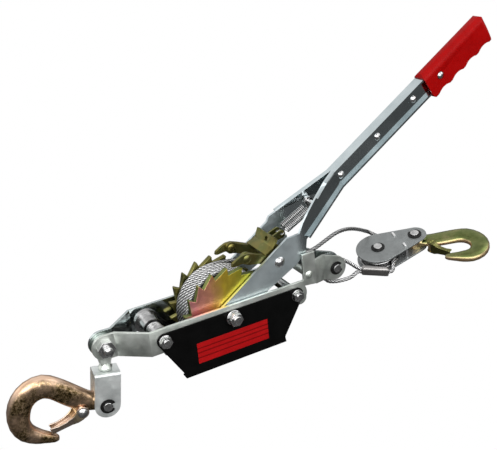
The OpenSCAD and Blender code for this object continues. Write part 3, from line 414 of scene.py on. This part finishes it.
def refine(node, width):
    """A CAD node's mesh with its flat faces whole and its edges rounded by width millimetres."""
    edge = math.radians(HOOK_EDGE if node in HOOKS else EDGE)
    obj = new_object("fine_" + node, nodes[node].data.copy())
    bm = bmesh.new()
    bm.from_mesh(obj.data)
    bmesh.ops.remove_doubles(bm, verts=bm.verts, dist=WELD)
    bmesh.ops.dissolve_limit(bm, angle_limit=math.radians(FLAT), verts=bm.verts, edges=bm.edges)
    bm.to_mesh(obj.data)
    bm.free()
    obj.data.materials.clear()
    select([obj])
    bpy.ops.object.shade_smooth_by_angle(angle=edge)
    if width:
        bevel = obj.modifiers.new("round", "BEVEL")
        bevel.width = width * MM
        bevel.segments = 2
        bevel.limit_method = "ANGLE"
        bevel.angle_limit = edge
        bpy.ops.object.modifier_apply(modifier="round")
        bpy.ops.object.shade_smooth_by_angle(angle=edge)
    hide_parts(node)
    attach(obj, body_of[node])
    return obj


# ---------------------------------------------------------------- shader nodes
def ramp(tree, source, stops):
    """Colours by a value; each stop is a place from 0 to 1 and a colour."""
    r = tree.nodes.new("ShaderNodeValToRGB")
    e = r.color_ramp.elements
    while len(e) < len(stops):
        e.new(0.5)
    for k, (at, colour) in enumerate(stops):
        e[k].position = at
        e[k].color = (*colour, 1)
    tree.links.new(source, r.inputs[0])
    return r.outputs[0]


def noise(tree, scale, detail=4.0, rough=0.55, stretch=(1, 1, 1), offset=(0, 0, 0)):
    """Noise in the object's own metres; scale is in features per metre."""
    coord = tree.nodes.new("ShaderNodeTexCoord")
    place = tree.nodes.new("ShaderNodeMapping")
    place.inputs["Location"].default_value = offset
    place.inputs["Scale"].default_value = stretch
    n = tree.nodes.new("ShaderNodeTexNoise")
    n.inputs["Scale"].default_value = scale
    n.inputs["Detail"].default_value = detail
    n.inputs["Roughness"].default_value = rough
    tree.links.new(coord.outputs["Object"], place.inputs["Vector"])
    tree.links.new(place.outputs["Vector"], n.inputs["Vector"])
    return n.outputs["Fac"]


def spread(tree, source, low, high, start=0.3, end=0.7):
    """A value that runs from start to end, mapped to low to high and held at both ends."""
    m = tree.nodes.new("ShaderNodeMapRange")
    m.inputs["From Min"].default_value = start
    m.inputs["From Max"].default_value = end
    m.inputs["To Min"].default_value = low
    m.inputs["To Max"].default_value = high
    tree.links.new(source, m.inputs["Value"])
    return m.outputs[0]


def relief(tree, source, strength, distance, under=None):
    b = tree.nodes.new("ShaderNodeBump")
    b.inputs["Strength"].default_value = strength
    b.inputs["Distance"].default_value = distance
    tree.links.new(source, b.inputs["Height"])
    if under is not None:
        tree.links.new(under, b.inputs["Normal"])
    return b.outputs[0]


def place_on(tree, axis, kind="Object"):
    """A point's place on one axis, 0 to 2, of a kind of texture coordinates."""
    coord = tree.nodes.new("ShaderNodeTexCoord")
    split = tree.nodes.new("ShaderNodeSeparateXYZ")
    tree.links.new(coord.outputs[kind], split.inputs[0])
    return split.outputs[axis]


def facing(tree, direction, low, high):
    """0 to 1 as the piece's own surface turns towards a direction."""
    coord = tree.nodes.new("ShaderNodeTexCoord")
    dot = tree.nodes.new("ShaderNodeVectorMath")
    dot.operation = "DOT_PRODUCT"
    dot.inputs[1].default_value = direction
    tree.links.new(coord.outputs["Normal"], dot.inputs[0])
    return spread(tree, dot.outputs["Value"], 0, 1, low, high)


def fill(tree, node, values):
    """Sets a node's inputs in turn to numbers or links them to sockets."""
    for into, value in zip(node.inputs, values):
        if isinstance(value, float):
            into.default_value = value
        else:
            tree.links.new(value, into)


def maths(tree, operation, *values, clamp=False):
    node = tree.nodes.new("ShaderNodeMath")
    node.operation = operation
    node.use_clamp = clamp
    fill(tree, node, values)
    return node.outputs[0]


# A mix node's sockets for colours.
MIX_FIRST, MIX_SECOND, MIX_RESULT = 6, 7, 2


def blend_colour(tree, factor, first, second, kind="MIX"):
    mix = tree.nodes.new("ShaderNodeMix")
    mix.data_type = "RGBA"
    mix.blend_type = kind
    fill(tree, mix, (factor,))
    tree.links.new(first, mix.inputs[MIX_FIRST])
    tree.links.new(second, mix.inputs[MIX_SECOND])
    return mix.outputs[MIX_RESULT]


def split_view(tree, others, camera, out):
    """The camera sees one shader, and all other rays see the other."""
    path = tree.nodes.new("ShaderNodeLightPath")
    mix = tree.nodes.new("ShaderNodeMixShader")
    tree.links.new(path.outputs["Is Camera Ray"], mix.inputs[0])
    tree.links.new(others, mix.inputs[1])
    tree.links.new(camera, mix.inputs[2])
    tree.links.new(mix.outputs[0], out.inputs["Surface"])


def grey(v, warm=0.0):
    return (v * (1 + warm), v, v * (1 - warm))


# ---------------------------------------------------------------- finishes
GRAIN_DEPTH = 0.0002
THREAD_SCALE, THREAD_BUMP, THREAD_DEPTH = 250, 0.3, 0.0003
GLOSS_PER_MOTTLE = 2.3
# The hooks' flank directions, in the model's frame at rest. Faces turned away from them are
# coloured pink-gold, in part as painted highlight.
ANCHOR_FLANK, LOAD_FLANK = (-0.104, -0.995, 0.007), (-0.211, -0.147, 0.966)
# Stretches of X in which the lever's fork gives way to its bar and in which the near wheel's
# colours run, and the label's lower and upper edge in Z.
FORK_FROM, FORK_TO = 0.088, 0.102
WHEEL_FROM, WHEEL_TO, WHEEL_WOBBLE = -0.052, 0.062, 0.035
LABEL_LOW, LABEL_HIGH = -0.0405, -0.0165


def surface(name, stops, metallic, rough, mottle, grain, bump=0.15, stretch=(1, 1, 1),
            thread=False):
    """A procedural finish: colours over a mottle, uneven gloss, and a fine grain in relief."""
    mat = bpy.data.materials.new(name)
    mat.use_nodes = True
    tree = mat.node_tree
    shader = tree.nodes["Principled BSDF"]
    shader.inputs["Metallic"].default_value = metallic
    tint = ramp(tree, noise(tree, mottle, 6, 0.6), stops)
    gloss = spread(tree, noise(tree, mottle * GLOSS_PER_MOTTLE, 5, 0.65), *rough)
    normal = relief(tree, noise(tree, grain, 3, 0.5, stretch), bump, GRAIN_DEPTH)
    if thread:
        coord = tree.nodes.new("ShaderNodeTexCoord")
        wave = tree.nodes.new("ShaderNodeTexWave")
        wave.bands_direction = "Y"
        wave.inputs["Scale"].default_value = THREAD_SCALE
        tree.links.new(coord.outputs["Object"], wave.inputs["Vector"])
        normal = relief(tree, wave.outputs["Fac"], THREAD_BUMP, THREAD_DEPTH, normal)
    tree.links.new(tint, shader.inputs["Base Color"])
    tree.links.new(gloss, shader.inputs["Roughness"])
    tree.links.new(normal, shader.inputs["Normal"])
    return mat


def opened(mat, channel="Base Color"):
    """A finish's nodes, one of its shader's inputs, and what is linked to that now."""
    into = mat.node_tree.nodes["Principled BSDF"].inputs[channel]
    return mat.node_tree, into, into.links[0].from_socket


def cable_finish(name, low, high, painted_gap_shade):
    """Bright strands whose flanks darken towards the core as painted shade between the strands."""
    mat = surface(name, [(0.3, grey(low)), (0.7, grey(high))], 1.0, (0.26, 0.44), 260, 1500,
                  bump=0.3)
    tree, into, tint = opened(mat)
    outward = tree.nodes.new("ShaderNodeAttribute")
    outward.attribute_name = "outward"
    # Painted shade: each strand's flank is darkened towards the core, as far as the last argument
    # sets.
    shade = ramp(tree, outward.outputs["Fac"],
                 [(0.1, grey(painted_gap_shade / 10)), (0.5, grey(painted_gap_shade)), (0.74, grey(1.0))])
    tree.links.new(blend_colour(tree, 1.0, tint, shade, "MULTIPLY"), into)
    return mat


def lever_finish():
    """Blue-grey satin on the fork, polished along the bar."""
    mat = surface("zinc_web", [(0.3, (0.50, 0.57, 0.59)), (0.7, (0.66, 0.73, 0.75))],
                  1.0, (0.42, 0.52), 40, 1000, bump=0.04)
    tree, into, satin = opened(mat, "Roughness")
    polish = spread(tree, place_on(tree, 0), 1, 0.2, FORK_FROM, FORK_TO)
    tree.links.new(maths(tree, "MULTIPLY", satin, polish), into)
    return mat


def wheel_finish():
    """Passivated face running from pink to yellow and green, with olive edges."""
    mat = surface("rainbow", [(0.3, (0.13, 0.15, 0.05)), (0.5, (0.20, 0.23, 0.07)),
                              (0.7, (0.30, 0.28, 0.10))], 1.0, (0.34, 0.48), 60, 1100)
    tree, into, edge = opened(mat)
    wavy = maths(tree, "MULTIPLY_ADD", noise(tree, 24, 3), WHEEL_WOBBLE, place_on(tree, 0))
    bands = ramp(tree, spread(tree, wavy, 0, 1, WHEEL_FROM, WHEEL_TO),
                 [(0.0, (0.24, 0.34, 0.10)), (0.13, (0.46, 0.36, 0.20)),
                  (0.24, (0.86, 0.33, 0.34)), (0.42, (0.92, 0.42, 0.24)),
                  (0.56, (0.84, 0.60, 0.07)), (0.8, (0.58, 0.55, 0.06)),
                  (1.0, (0.36, 0.42, 0.08))])
    tree.links.new(blend_colour(tree, facing(tree, (0, -1, 0), 0.8, 0.95), edge, bands), into)
    return mat


def bronze_finish():
    """Pink-gold, partly the hook's tone and partly painted highlight, with dark speckled panels on
    the flanks.
    """
    mat = surface("bronze", [(0.3, (0.50, 0.34, 0.20)), (0.5, (0.86, 0.58, 0.40)),
                             (0.7, (0.98, 0.74, 0.58))], 1.0, (0.24, 0.4), 30, 320, bump=0.35)
    tree, into, gold = opened(mat)
    speckle = ramp(tree, noise(tree, 330, 6, 0.75),
                   [(0.40, (0.028, 0.02, 0.008)), (0.50, (0.22, 0.15, 0.06)),
                    (0.62, (0.76, 0.54, 0.33))])
    patch = spread(tree, noise(tree, 36, 3, 0.5, offset=(0.01, 0.03, 0.02)), 0.15, 1.1,
                   0.36, 0.6)
    # The flanks take the dark speckle. The other faces keep the bright pink-gold, partly the
    # hook's tone and partly painted highlight.
    mask = maths(tree, "MULTIPLY", facing(tree, ANCHOR_FLANK, 0.5, 0.9), patch, clamp=True)
    tree.links.new(blend_colour(tree, mask, gold, speckle), into)
    return mat


def olive_finish():
    """Olive-green flanks, with pink-gold painted highlight on the rounded edges."""
    mat = surface("olive", [(0.3, (0.10, 0.125, 0.04)), (0.46, (0.16, 0.19, 0.065)),
                            (0.6, (0.24, 0.24, 0.10)), (0.74, (0.42, 0.36, 0.20))],
                  1.0, (0.26, 0.4), 42, 1100, bump=0.06)
    tree, into, flank = opened(mat)
    # Pink-gold on the faces turned away from the flank: painted highlight.
    rim_highlight = ramp(tree, noise(tree, 40, 3), [(0.35, (0.95, 0.62, 0.40)), (0.65, (0.80, 0.66, 0.32))])
    tree.links.new(blend_colour(tree, facing(tree, LOAD_FLANK, 0.35, 0.8), rim_highlight, flank), into)
    return mat


def label_finish():
    """Red plate with a few plain faint lines."""
    mat = surface("label", [(0.3, (0.30, 0.004, 0.005)), (0.7, (0.37, 0.006, 0.007))],
                  0.0, (0.34, 0.46), 60, 1600, bump=0.05)
    tree, into, tint = opened(mat)
    rows = ramp(tree, spread(tree, place_on(tree, 2), 0, 1, LABEL_LOW, LABEL_HIGH),
                [(0.0, grey(1)), (0.25, grey(1)), (0.27, grey(0.45)), (0.31, grey(0.45)),
                 (0.33, grey(1)), (0.5, grey(1)), (0.52, grey(0.5)), (0.57, grey(0.5)),
                 (0.59, grey(1)), (0.72, grey(1)), (0.74, grey(0.45)), (0.78, grey(0.45)),
                 (0.8, grey(1)), (1.0, grey(1))])
    tree.links.new(blend_colour(tree, 1.0, tint, rows, "MULTIPLY"), into)
    return mat


finish = {
    "zinc_web": lever_finish(),
    "olive": olive_finish(),
    "rainbow": wheel_finish(),
    "bronze": bronze_finish(),
    "label": label_finish(),
    "rope": cable_finish("rope", 0.5, 0.78, 0.14),
    # A darker, flatter copy of the same rope finish for the lead stretch: painted shade.
    "rope_painted_shade": cable_finish("rope_painted_shade", 0.26, 0.42, 0.3),
}
# Name, colour stops, metallic, range of roughness, mottle and grain per metre, and the rest.
for name, stops, metallic, rough, mottle, grain, more in (
    ("zinc", [(0.32, (0.54, 0.58, 0.54)), (0.52, (0.72, 0.76, 0.71)), (0.7, (0.84, 0.87, 0.83))],
     1.0, (0.38, 0.52), 38, 900, {}),
    ("zinc_bolt", [(0.3, grey(0.40)), (0.5, grey(0.58)), (0.7, grey(0.74))],
     1.0, (0.14, 0.3), 160, 1200, {"thread": True}),
    ("zinc_clevis", [(0.32, (0.70, 0.74, 0.73)), (0.5, (0.86, 0.89, 0.88)),
                     (0.7, (0.93, 0.96, 0.95))], 1.0, (0.46, 0.6), 45, 900, {}),
    # The far strap's zinc: a darker copy of the zinc as painted shade, with a glossier finish.
    ("zinc_painted_shade", [(0.32, (0.38, 0.43, 0.43)), (0.7, (0.62, 0.68, 0.67))],
     1.0, (0.12, 0.22), 38, 900, {"bump": 0.08}),
    ("yellow", [(0.3, (0.13, 0.12, 0.035)), (0.45, (0.22, 0.19, 0.06)),
                (0.56, (0.17, 0.18, 0.06)), (0.7, (0.36, 0.29, 0.13))],
     1.0, (0.26, 0.42), 38, 1100, {}),
    ("far_wheel", [(0.32, (0.12, 0.12, 0.04)), (0.5, (0.22, 0.20, 0.06)),
                   (0.68, (0.34, 0.28, 0.10))], 1.0, (0.3, 0.45), 26, 1100, {}),
    ("pink_latch", [(0.3, (0.44, 0.35, 0.25)), (0.5, (0.62, 0.50, 0.42)),
                    (0.7, (0.72, 0.60, 0.32))], 1.0, (0.24, 0.38), 30, 1000, {"bump": 0.08}),
    ("black_sheet", [(0.3, grey(0.0015)), (0.7, grey(0.003))],
     0.0, (0.34, 0.46), 60, 1500, {"bump": 0.08}),
    ("black_clip", [(0.3, grey(0.006)), (0.7, grey(0.012))], 0.2, (0.35, 0.5), 200, 1500, {}),
    ("grip", [(0.3, (0.27, 0.0004, 0.0004)), (0.7, (0.34, 0.0006, 0.0006))],
     0.0, (0.34, 0.5), 60, 1900, {"bump": 0.12}),
    ("block", [(0.3, (0.22, 0.232, 0.232)), (0.7, (0.29, 0.306, 0.306))],
     0.75, (0.42, 0.58), 70, 1300, {"bump": 0.2}),
    ("ferrule", [(0.3, grey(0.26, 0.03)), (0.7, grey(0.40, 0.03))],
     0.95, (0.28, 0.42), 60, 700, {"bump": 0.3, "stretch": (0.2, 1, 1)}),
    ("steel", [(0.3, grey(0.30)), (0.7, grey(0.5))], 1.0, (0.14, 0.28), 80, 1000,
     {"bump": 0.08}),
    ("coil", [(0.3, grey(0.34)), (0.7, grey(0.54))], 1.0, (0.1, 0.2), 90, 1000, {"bump": 0.05}),
    ("bright", [(0.3, grey(0.82)), (0.7, grey(0.95))], 1.0, (0.3, 0.42), 80, 1000,
     {"bump": 0.06}),
):
    finish[name] = surface(name, stops, metallic, rough, mottle, grain, **more)
for look, gloss in (("label", 0.1), ("black_sheet", 0.08), ("grip", 0.10), ("black_clip", 0.25)):
    shader = finish[look].node_tree.nodes["Principled BSDF"]
    shader.inputs["Specular IOR Level"].default_value = gloss

# Finish, edge rounding in millimetres, and the CAD nodes that have them.
groups = {
    "zinc": (0.35, "near_strap guide_rod swivel_eye"),
    "zinc_clevis": (0.5, "clevis"),
    # The far strap takes the darker copy of the zinc, painted shade.
    "zinc_painted_shade": (0.35, "far_strap"),
    "zinc_web": (0.4, "near_handle_half far_handle_half"),
    "zinc_bolt": (0.35, "axle_bolt axle_nut axle_washers cover_bolts cover_nuts strap_bolt "
                  "strap_nut eye_pin handle_rivets grip_screw pawl_bolt pawl_nut spring_bolt "
                  "spring_nut swivel_nut clevis_pin anchor_latch_rivet sheave_pin hook_pin"),
    "rainbow": (0.3, "near_ratchet"),
    "far_wheel": (0.3, "far_ratchet"),
    "yellow": (0.35, "drive_pawl pawl_rivets load_latch load_latch_rivet sheave_bush"),
    "olive": (0, "load_hook"),
    "pink_latch": (0.35, "anchor_latch"),
    "bronze": (0, "anchor_hook"),
    "black_sheet": (0.35, "near_cover far_cover"),
    "black_clip": (0.2, "eye_pin_clips clevis_clips block_clips"),
    "label": (0.1, "label_plate"),
    "grip": (1.1, "grip"),
    "block": (0.4, "upper_block_plate lower_block_plate"),
    "bright": (0.2, "block_spacers"),
    "ferrule": (0.5, "ferrule"),
    "steel": (0.3, "pawl_spacer strap_spacer drum_core drum_bush stop_pawl sheave"),
}
for look, (width, names) in groups.items():
    for node in names.split():
        obj = refine(node, width)
        obj.data.materials.append(finish[look])
for obj in ropes:
    # The lead takes the darker copy of the rope finish, painted shade.
    obj.data.materials.append(finish["rope_painted_shade" if obj.name == "cable_lead" else "rope"])
for obj in springs:
    obj.data.materials.append(finish["coil"])


# ---------------------------------------------------------------- light and floor
FLOOR_HALF, FLOOR_LEVEL = 4.0, -0.16


def area(name, place, target, size, watts, tall=None):
    """An area light that the camera doesn't see; square unless tall is given."""
    light = bpy.data.lights.new(name, "AREA")
    light.energy = watts
    light.size = size
    if tall:
        light.shape = "RECTANGLE"
        light.size_y = tall
    obj = bpy.data.objects.new(name, light)
    obj.location = place
    aim = Vector(target) - Vector(place)
    obj.rotation_euler = aim.to_track_quat("-Z", "Y").to_euler()
    obj.visible_camera = False
    scene.collection.objects.link(obj)


def studio():
    """White behind the object, and a room from dark below to bright above in reflections."""
    world = bpy.data.worlds.new("studio")
    scene.world = world
    world.use_nodes = True
    tree = world.node_tree
    seen = tree.nodes["Background"]
    seen.inputs["Color"].default_value = (1, 1, 1, 1)
    seen.inputs["Strength"].default_value = 1.0
    room = tree.nodes.new("ShaderNodeBackground")
    up = spread(tree, place_on(tree, 2, "Generated"), 0, 1, -1, 1)
    tree.links.new(ramp(tree, up, [
        (0.0, grey(0.04)), (0.48, grey(0.04)), (0.53, grey(0.3)), (0.66, grey(0.45)),
        (0.74, grey(1.0)), (0.79, grey(1.0)), (0.86, grey(0.72)), (1.0, grey(0.9))]),
        room.inputs["Color"])
    room.inputs["Strength"].default_value = 1.0
    split_view(tree, room.outputs[0], seen.outputs[0], tree.nodes["World Output"])


def floor():
    """A floor that is dark in reflections and white to the camera."""
    half, level = FLOOR_HALF, FLOOR_LEVEL
    mesh = bpy.data.meshes.new("floor")
    mesh.from_pydata([(-half, -half, level), (half, -half, level), (half, half, level),
                      (-half, half, level)], [], [(0, 1, 2, 3)])
    obj = new_object("floor", mesh)
    mat = bpy.data.materials.new("floor")
    mat.use_nodes = True
    tree = mat.node_tree
    shader = tree.nodes["Principled BSDF"]
    shader.inputs["Roughness"].default_value = 0.8
    tree.links.new(ramp(tree, noise(tree, 3, 2), [(0.3, grey(0.028)), (0.7, grey(0.034))]),
                   shader.inputs["Base Color"])
    glow = tree.nodes.new("ShaderNodeEmission")
    glow.inputs["Strength"].default_value = 1.0
    split_view(tree, shader.outputs[0], glow.outputs[0], tree.nodes["Material Output"])
    mesh.materials.append(mat)


studio()
floor()
# Each light's place, target, width and watts.
area("key", (-0.75, -0.8, 0.85), (0, 0, 0), 1.0, 11)
area("side", (0.9, -0.3, 0.7), (0.1, 0, 0), 0.5, 2.2, tall=0.9)
area("front", (0.1, -1.25, 0.5), (0, 0, 0), 1.3, 9.5, tall=0.8)
area("back", (-1.0, 1.2, 0.6), (0, 0, 0), 1.0, 2.5)
